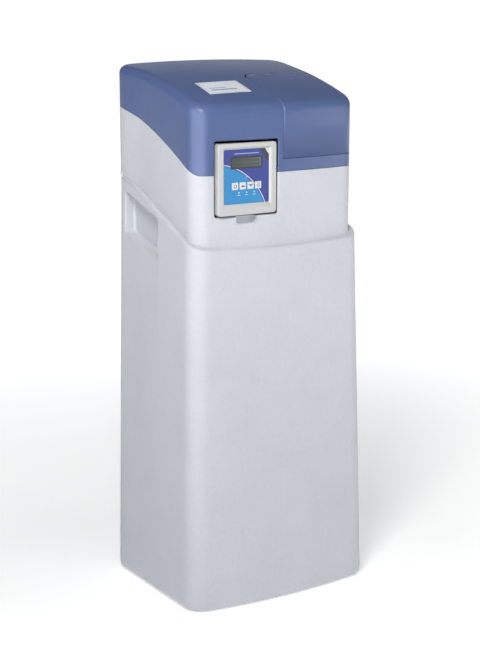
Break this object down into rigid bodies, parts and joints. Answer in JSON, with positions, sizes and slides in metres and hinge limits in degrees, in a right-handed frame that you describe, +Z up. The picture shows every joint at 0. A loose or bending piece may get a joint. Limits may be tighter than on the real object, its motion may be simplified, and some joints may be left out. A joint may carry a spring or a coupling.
{
  "type": "water softener",
  "caption": "Cabinet water softener: white salt cabinet with a blue cover, a hinged salt hatch, a control panel, a resin tank with its valve and rear pipe connections.",
  "frame": {"origin": "middle of the cabinet's base, on the floor", "axes": "+Z up, -Y towards the front with the control panel, +X towards the salt hatch's side"},
  "size_m": [0.4242, 0.3911, 1.0589],
  "materials": {
    "cabinet_white": "fine pebble",
    "cover_blue": "satin",
    "bezel_grey": "satin",
    "panel_print": "satin",
    "display_glass": "gloss",
    "lamp": "clear",
    "key_grey": "satin",
    "board_green": "matte",
    "label_white": "satin",
    "dark_plastic": "matte",
    "white_plastic": "satin",
    "nylon": "satin",
    "steel": "brushed",
    "rubber": "matte",
    "tank_blue": "satin",
    "resin": "grainy",
    "knob_red": "satin",
    "float_white": "foam"
  },
  "bodies": {
    "base": {"cabinet": "cabinet_white", "bezel": "bezel_grey", "panel_overlay": "panel_print", "display": "display_glass", "status_led": "lamp", "circuit_board": "board_green", "control_box": "dark_plastic", "panel_screws": "steel", "drive_motor": "steel", "drive_cap": "dark_plastic", "seal_stack": "rubber", "valve_body": "dark_plastic", "neck_ring": "rubber", "injector_cap": "dark_plastic", "injector_screws": "steel", "drain_elbow": "dark_plastic", "brine_elbow": "dark_plastic", "resin_tank": "tank_blue", "tank_boot": "dark_plastic", "resin_bed": "resin", "riser_tube": "white_plastic", "bottom_basket": "white_plastic", "top_basket": "white_plastic", "bypass_body": "dark_plastic", "bypass_nuts": "dark_plastic", "pipe_tails": "white_plastic", "brine_line": "white_plastic", "brine_well": "white_plastic", "brine_valve": "white_plastic", "salt_grid": "white_plastic", "overflow_elbow": "dark_plastic", "overflow_gasket": "rubber", "overflow_nut": "dark_plastic", "cable_grommet": "rubber"},
    "cover_lift": {"cover": "cover_blue", "cover_label": "label_white", "hinge_brackets": "dark_plastic", "hinge_pins": "steel"},
    "hatch": {"salt_hatch": "cover_blue", "hatch_lugs": "dark_plastic"},
    "key_1_cap": {"key_1": "key_grey"},
    "key_2_cap": {"key_2": "key_grey"},
    "key_3_cap": {"key_3": "key_grey"},
    "key_4_cap": {"key_4": "key_grey"},
    "gear": {"main_gear": "nylon"},
    "pinion": {"motor_pinion": "nylon"},
    "valve_piston": {"piston": "dark_plastic"},
    "turbine": {"meter_turbine": "nylon"},
    "rotor_in": {"bypass_rotor_in": "knob_red"},
    "rotor_out": {"bypass_rotor_out": "knob_red"},
    "float": {"float_rod": "steel", "brine_float": "float_white"},
    "cap": {"well_cap": "dark_plastic"}
  },
  "joints": [
    {"name": "cover_lift_off", "type": "slide", "parent": "base", "child": "cover_lift", "axis": [0, 0, 1], "range_m": [0, 0.25]},
    {"name": "hatch_hinge", "type": "hinge", "parent": "cover_lift", "child": "hatch", "pos_m": [0.112, -0.015, 1.02164], "axis": [-1, 0, 0], "range_deg": [0, 95]},
    {"name": "key_1_press", "type": "slide", "parent": "base", "child": "key_1_cap", "axis": [0, 1, 0], "range_m": [0, 0.0008], "stiffness_N_per_m": 1500, "springref_m": -0.0002},
    {"name": "key_2_press", "type": "slide", "parent": "base", "child": "key_2_cap", "axis": [0, 1, 0], "range_m": [0, 0.0008], "stiffness_N_per_m": 1500, "springref_m": -0.0002},
    {"name": "key_3_press", "type": "slide", "parent": "base", "child": "key_3_cap", "axis": [0, 1, 0], "range_m": [0, 0.0008], "stiffness_N_per_m": 1500, "springref_m": -0.0002},
    {"name": "key_4_press", "type": "slide", "parent": "base", "child": "key_4_cap", "axis": [0, 1, 0], "range_m": [0, 0.0008], "stiffness_N_per_m": 1500, "springref_m": -0.0002},
    {"name": "gear_turn", "type": "hinge", "parent": "base", "child": "gear", "pos_m": [-0.07752, -0.08866, 0.805], "axis": [0, 1, 0], "range_deg": [0, 720]},
    {"name": "pinion_turn", "type": "hinge", "parent": "base", "child": "pinion", "pos_m": [-0.0404, -0.08866, 0.84212], "axis": [0, 1, 0], "range_deg": [-2880, 0]},
    {"name": "piston_stroke", "type": "slide", "parent": "base", "child": "valve_piston", "axis": [0, -1, 0], "range_m": [0, 0.02]},
    {"name": "turbine_spin", "type": "hinge", "parent": "base", "child": "turbine", "pos_m": [-0.03952, 0.04484, 0.805], "axis": [0, 1, 0], "continuous": true},
    {"name": "rotor_in_turn", "type": "hinge", "parent": "base", "child": "rotor_in", "pos_m": [-0.11552, 0.09566, 0.835], "axis": [0, 0, 1], "range_deg": [0, 90]},
    {"name": "rotor_out_turn", "type": "hinge", "parent": "base", "child": "rotor_out", "pos_m": [-0.03952, 0.09566, 0.835], "axis": [0, 0, 1], "range_deg": [0, 90]},
    {"name": "float_rise", "type": "slide", "parent": "base", "child": "float", "axis": [0, 0, 1], "range_m": [0, 0.02]},
    {"name": "cap_lift_off", "type": "slide", "parent": "base", "child": "cap", "axis": [0, 0, 1], "range_m": [0, 0.06]}
  ],
  "couplings": [
    {"joint": "gear_turn", "follows": "piston_stroke", "rad_per_m": 628.32},
    {"joint": "pinion_turn", "follows": "piston_stroke", "rad_per_m": -2513.3}
  ]
}
